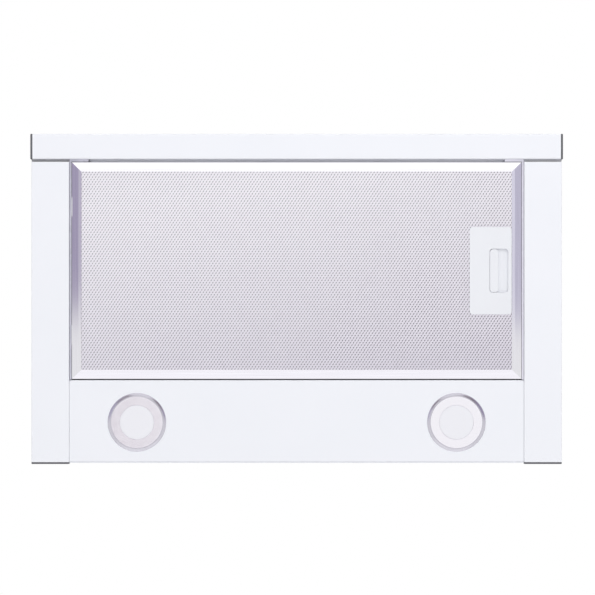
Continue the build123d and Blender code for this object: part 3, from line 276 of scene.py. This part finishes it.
# Expanded mesh: staggered diamonds, each with a leaning slot, strands crowned towards the hob
def expandedSheet(name, spec, low, high, notch):
    columns = round((high.x - low.x) / (spec["pitchX"] * mm))
    rows = round((high.y - low.y) / (spec["pitchY"] * mm))
    stepX = (high.x - low.x) / columns
    stepY = (high.y - low.y) / rows
    bm = bmesh.new()
    corners = {}

    def corner(halfColumns, rowLines):
        key = (halfColumns, rowLines)
        if key not in corners:
            x = min(max(low.x + halfColumns * stepX / 2, low.x), high.x)
            y = min(max(low.y + rowLines * stepY, low.y), high.y)
            corners[key] = bm.verts.new((x, y, low.z))
        return corners[key]

    diamond = [(1, 0.5), (0, 1.5), (-1, 0.5), (0, -0.5)]  # half columns and rows from the start of the cell
    for row in range(rows):
        for column in range(columns):
            halfColumn = 2 * column + 1 + row % 2
            x = low.x + halfColumn * stepX / 2
            y = low.y + (row + 0.5) * stepY
            underLatch = notch and notch[0] < x and notch[1] < y < notch[2]
            if x > high.x - stepX or underLatch:
                continue
            outer = [corner(halfColumn + dx, row + dy) for dx, dy in diamond]
            hole = []
            for dx, dy in spec["slot"]:
                hole.append(bm.verts.new((x + dx * stepX, y + dy * stepY, low.z + spec["crown"] * mm)))
            for i in range(len(diamond)):
                bm.faces.new((outer[i], outer[i - 1], hole[i - 1], hole[i]))
    mesh = bpy.data.meshes.new(name)
    bm.normal_update()
    bm.to_mesh(mesh)
    bm.free()
    print(name, columns, "x", rows, "openings")
    return mesh


def layGauze(name, spec, body, standsFor, notch=None):
    mesh = expandedSheet(name, spec, *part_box(standsFor), notch)
    layer = addPiece(name, mesh, body, "expanded_aluminium", standsFor)
    thick = layer.modifiers.new("sheet", "SOLIDIFY")
    thick.thickness = -spec["sheet"] * mm


leaningSlot = [(0.2, 0.04), (-0.17, 0.42), (-0.2, -0.04), (0.17, -0.42)]  # shares of one cell
gauze = {"pitchX": 2.97, "pitchY": 2.26, "crown": 0.1, "sheet": 0.35, "slot": leaningSlot,
         "latchSide": 5, "latchEnds": 20}
trayLow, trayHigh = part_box("latch_plate")
latchEnds = gauze["latchEnds"] * mm
latchNotch = (trayLow.x + gauze["latchSide"] * mm, trayLow.y + latchEnds, trayHigh.y - latchEnds)
layGauze("filter_gauze", gauze, "filter", "filter_mesh", latchNotch)

innerGauze = {"pitchX": 5.9, "pitchY": 4.4, "crown": 0.25, "sheet": 0.5, "slot": leaningSlot}
layGauze("inner_gauze", innerGauze, "hood", "inner_filter_mesh")


# Lamp bezel: a rounded nickel ring round a flat reflector, turned about the lamp's axis
def turnedBezel(name, spec, low, high):
    axisX = (low.x + high.x) / 2
    axisY = (low.y + high.y) / 2
    rimOut = (high.x - low.x) / 2 / mm
    rimIn = rimOut - spec["rim"]
    foot = low.z / mm
    top = high.z / mm
    seat = foot + spec["drop"]
    flat = foot + spec["step"]
    bore = spec["bore"]
    sleeveOut = spec["sleeve"]
    sleeveIn = sleeveOut - spec["wall"]
    mirror = [(bore, seat), (bore, flat + spec["chamfer"]), (bore + spec["chamfer"], flat)]
    nose = [(rimIn, flat)]
    bead = []
    for i in range(spec["beadSteps"] + 1):
        along = i / spec["beadSteps"]
        radius = rimIn + spec["nose"] + along * (spec["rim"] - spec["nose"])
        bead.append((radius, foot + (spec["drop"] - spec["chamfer"]) * along ** spec["curve"]))
    back = [(rimOut, seat), (sleeveOut, seat), (sleeveOut, top), (sleeveIn, top), (sleeveIn, seat)]
    outline = mirror + nose + bead + back
    beadStart = len(mirror + nose)
    bm = bmesh.new()
    rings = []
    for i in range(spec["turns"]):
        angle = 2 * math.pi * i / spec["turns"]
        ring = []
        for radius, z in outline:
            x = axisX + radius * mm * math.cos(angle)
            y = axisY + radius * mm * math.sin(angle)
            ring.append(bm.verts.new((x, y, z * mm)))
        rings.append(ring)
    for i in range(spec["turns"]):
        last, this = rings[i - 1], rings[i]
        for j in range(len(outline)):
            k = (j + 1) % len(outline)
            face = bm.faces.new((last[j], this[j], this[k], last[k]))
            face.smooth = beadStart <= j < beadStart + spec["beadSteps"]
            face.material_index = 1 if j < len(mirror) else 0
    bmesh.ops.recalc_face_normals(bm, faces=bm.faces)
    mesh = bpy.data.meshes.new(name)
    bm.to_mesh(mesh)
    bm.free()
    return mesh


bezel = {"rim": 3.3, "nose": 0.4, "curve": 1.3, "bore": 16.1, "step": 0.45, "drop": 1.0, "chamfer": 0.1,
         "sleeve": 23.6, "wall": 1.4, "beadSteps": 8, "turns": 96}
for side in ("left", "right"):
    ringName = "bezel_ring_" + side
    bezelName = "lamp_bezel_" + side
    bezelMesh = turnedBezel(ringName, bezel, *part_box(bezelName))
    bezelRing = addPiece(ringName, bezelMesh, "hood", "satin_nickel", bezelName)
    bezelRing.data.materials.append(reflector)
print("bezels turned")

# Edges: moulded and cut pieces lose their razor edges, by these widths in millimetres
softened = {
    "latch_plate": 0.18, "latch_slider": 0.15,
    "bar_cap_left": 0.3, "bar_cap_right": 0.3, "strip_cap_left": 0.3, "strip_cap_right": 0.3,
    "switch_block": 0.4, "terminal_box": 0.4, "cable_gland": 0.3,
    "front_sheet": 0.25, "rear_sheet": 0.25, "side_sheet_left": 0.25, "side_sheet_right": 0.25,
    "top_panel": 0.25,
}
rounding = {"weldMm": 0.001, "flatDegrees": 0.5, "cornerDegrees": 40, "segments": 2}
for node, width in softened.items():
    seam = nodes[node].modifiers.new("seam", "WELD")  # the solids come with their faces apart
    seam.merge_threshold = rounding["weldMm"] * mm
    flat = nodes[node].modifiers.new("flat", "DECIMATE")
    flat.decimate_type = "DISSOLVE"
    flat.angle_limit = math.radians(rounding["flatDegrees"])
    edge = nodes[node].modifiers.new("edge", "BEVEL")
    edge.width = width * mm
    edge.segments = rounding["segments"]
    edge.limit_method = "ANGLE"
    edge.angle_limit = math.radians(rounding["cornerDegrees"])
    edge.harden_normals = True
print("edges softened:", len(softened))


# Studio: soft boxes that metal does not see, two below the hood and two above it
def softBox(name, spec):
    lamp = bpy.data.lights.new(name, "AREA")
    lamp.shape = "RECTANGLE"
    lamp.size, lamp.size_y = spec["size"]
    lamp.energy = spec["watts"]
    box = bpy.data.objects.new(name, lamp)
    scene.collection.objects.link(box)
    box.location = spec["place"]
    box.rotation_euler = (Vector(spec["aim"]) - box.location).to_track_quat("-Z", "Y").to_euler()
    box.visible_glossy = False


softBoxes = {
    "frontBox": {"size": (1.8, 0.8), "watts": 9.8, "place": (0.25, -1.25, -1.15), "aim": (0, 0, 0)},
    "rearBox": {"size": (1.8, 0.9), "watts": 4, "place": (0, 1.5, -1.3), "aim": (0, 0, 0)},
    "topBox": {"size": (1.6, 1.6), "watts": 9, "place": (-0.9, -1.0, 1.9), "aim": (0, 0, 0.1)},
    "backBox": {"size": (1.6, 1.2), "watts": 8, "place": (0.9, 1.5, 1.2), "aim": (0, 0, 0.1)},
}
for name, spec in softBoxes.items():
    softBox(name, spec)


def plainMesh(name, width, height):
    mesh = bpy.data.meshes.new(name)
    w, h = width / 2, height / 2
    mesh.from_pydata([(-w, -h, 0), (w, -h, 0), (w, h, 0), (-w, h, 0)], [], [(0, 1, 2, 3)])
    return mesh


# Cards that only metal sees: each fades to the white of the room along Y
def studioCard(name, spec):
    mesh = plainMesh(name, *spec["size"])
    card = bpy.data.objects.new(name, mesh)
    scene.collection.objects.link(card)
    card.location = spec["place"]
    card.rotation_euler = (Vector(spec["aim"]) - card.location).to_track_quat("Z", "Y").to_euler()
    material = bpy.data.materials.new(name)
    material.use_nodes = True
    tree = material.node_tree
    tree.nodes.clear()
    spot = addNode(tree, "SeparateXYZ", {0: addNode(tree, "NewGeometry").outputs["Position"]})
    fade = addNode(tree, "MapRange", {0: spot.outputs["Y"], 1: spec["fade"][0], 2: spec["fade"][1]})
    tones = {0: fade.outputs[0], 6: linear(spec["colour"]), 7: (1, 1, 1, 1)}
    tint = addNode(tree, "Mix", tones, data_type="RGBA")
    glow = addNode(tree, "Emission", {"Color": tint.outputs[2], "Strength": spec["strength"]})
    addNode(tree, "OutputMaterial", {"Surface": glow.outputs[0]})
    mesh.materials.append(material)
    card.visible_camera = False
    card.visible_diffuse = False
    card.visible_shadow = False
    card.visible_transmission = False


noFade = (8, 9)  # metres along Y, far outside the studio
cards = {
    "rightUpper": {"size": (1.62, 1.3), "place": (1.25, -0.75, -1.15), "aim": (0, -0.75, -1.15),
                   "colour": "#b0a8c1", "strength": 1.0, "fade": (-0.01, 0.06)},
    "rightLower": {"size": (1.62, 1.3), "place": (1.25, -0.75, -2.45), "aim": (0, -0.75, -2.45),
                   "colour": "#cbc6d7", "strength": 1.0, "fade": (-0.02, 0.07)},
    "leftUpper": {"size": (1.62, 1.3), "place": (-1.25, -0.75, -1.15), "aim": (0, -0.75, -1.15),
                  "colour": "#cfccde", "strength": 1.0, "fade": (0.03, 0.062)},
    "leftLower": {"size": (1.62, 1.3), "place": (-1.25, -0.75, -2.45), "aim": (0, -0.75, -2.45),
                  "colour": "#ebe9f7", "strength": 1.0, "fade": (0.03, 0.07)},
    "rearCard": {"size": (2.8, 0.8), "place": (0, 1.6, -1.2), "aim": (0, 0, -1.2),
                 "colour": "#ffffff", "strength": 1.4, "fade": noFade},
    "rearLow": {"size": (2.8, 0.7), "place": (0, 1.95, -3.1), "aim": (0, 1.95, 0),
                "colour": "#ffffff", "strength": 1.3, "fade": noFade},
    "frontLow": {"size": (2.8, 0.7), "place": (0, -2.1, -3.1), "aim": (0, -2.1, 0),
                 "colour": "#fdfcff", "strength": 1.18, "fade": noFade},
    "frontCard": {"size": (2.2, 0.9), "place": (0, -1.6, -1.2), "aim": (0, 0, -1.2),
                  "colour": "#fdfcff", "strength": 1.19, "fade": noFade},
    "cornerRight": {"size": (0.7, 0.6), "place": (0.85, -0.8, -1.8), "aim": (0, 0.1, 0),
                    "colour": "#8c8084", "strength": 1.0, "fade": noFade},
    "cornerLeft": {"size": (0.7, 0.6), "place": (-0.85, -0.8, -1.8), "aim": (0, 0.1, 0),
                   "colour": "#9c9095", "strength": 1.0, "fade": noFade},
    "cameraCard": {"size": (0.2, 0.2), "place": (-0.34, 0.24, -2.25), "aim": (-0.15, 0.11, 0),
                   "colour": "#c9bec6", "strength": 1.0, "fade": noFade},
}
for name, spec in cards.items():
    studioCard(name, spec)

# Floor: pale below the hood, white in the distance, and as bright as the room where metal sees it
ground = {"size": 80, "level": -3.2, "paint": "#f2f2f3", "lightShare": 0.76,
          "paleShare": 0.6, "paleTo": 4.0, "whiteFrom": 14.0}
floorMesh = plainMesh("floor", ground["size"], ground["size"])
floor = bpy.data.objects.new("floor", floorMesh)
scene.collection.objects.link(floor)
floor.location.z = ground["level"]
floorPaint = bpy.data.materials.new("paleFloor")
floorPaint.use_nodes = True
floorTree = floorPaint.node_tree
floorTree.nodes.clear()
floorSkin = addNode(floorTree, "BsdfDiffuse", {"Color": linear(ground["paint"])})
floorPath = addNode(floorTree, "LightPath")
asLight = {0: floorPath.outputs["Is Diffuse Ray"], 3: 1.0, 4: ground["lightShare"]}
floorLevel = addNode(floorTree, "MapRange", asLight)
floorGlow = addNode(floorTree, "Emission", {"Color": (1, 1, 1, 1), "Strength": floorLevel.outputs[0]})
floorSpot = addNode(floorTree, "NewGeometry").outputs["Position"]
floorReach = addNode(floorTree, "VectorMath", {0: floorSpot}, operation="LENGTH")
withReach = {0: floorReach.outputs["Value"], 1: ground["paleTo"], 2: ground["whiteFrom"],
             3: ground["paleShare"], 4: 0.0}
floorFade = addNode(floorTree, "MapRange", withReach)
inView = {0: floorPath.outputs["Is Camera Ray"], 1: floorFade.outputs[0]}
floorPart = addNode(floorTree, "Math", inView, operation="MULTIPLY")
floorLayers = {0: floorPart.outputs[0], 1: floorGlow.outputs[0], 2: floorSkin.outputs[0]}
floorMix = addNode(floorTree, "MixShader", floorLayers)
addNode(floorTree, "OutputMaterial", {"Surface": floorMix.outputs[0]})
floorMesh.materials.append(floorPaint)

# Room: white where the camera, metal or glass looks, softer as light
walls = {"paint": "#fdfdff", "light": 0.6, "seen": 1.0}
room = bpy.data.worlds.new("room")
scene.world = room
room.use_nodes = True
roomTree = room.node_tree
roomTree.nodes.clear()
roomPath = addNode(roomTree, "LightPath")
direct = {0: roomPath.outputs["Is Camera Ray"], 1: roomPath.outputs["Is Glossy Ray"]}
roomSeen = addNode(roomTree, "Math", direct, operation="MAXIMUM")
through = {0: roomSeen.outputs[0], 1: roomPath.outputs["Is Transmission Ray"]}
roomClear = addNode(roomTree, "Math", through, operation="MAXIMUM")
roomLight = addNode(roomTree, "Background", {"Color": linear(walls["paint"]), "Strength": walls["light"]})
roomWhite = addNode(roomTree, "Background", {"Color": (1, 1, 1, 1), "Strength": walls["seen"]})
roomLayers = {0: roomClear.outputs[0], 1: roomLight.outputs[0], 2: roomWhite.outputs[0]}
roomMix = addNode(roomTree, "MixShader", roomLayers)
addNode(roomTree, "OutputWorld", {"Surface": roomMix.outputs[0]})
scene.view_settings.view_transform = "Standard"
print("studio lit")

# Camera: straight below the hood, long lens, front bar at the top of the picture
shot = {"below": 2.3, "frameWidth": 0.5584, "middle": (0.0008, -0.0013), "sensor": 36, "clip": (0.05, 30)}
lens = bpy.data.cameras.new("camera")
lens.sensor_width = shot["sensor"]
lens.lens = shot["sensor"] * shot["below"] / shot["frameWidth"]
lens.clip_start, lens.clip_end = shot["clip"]
camera = bpy.data.objects.new("camera", lens)
scene.collection.objects.link(camera)
camera.location = (*shot["middle"], -shot["below"])
camera.rotation_euler = (math.pi, 0, 0)
scene.camera = camera
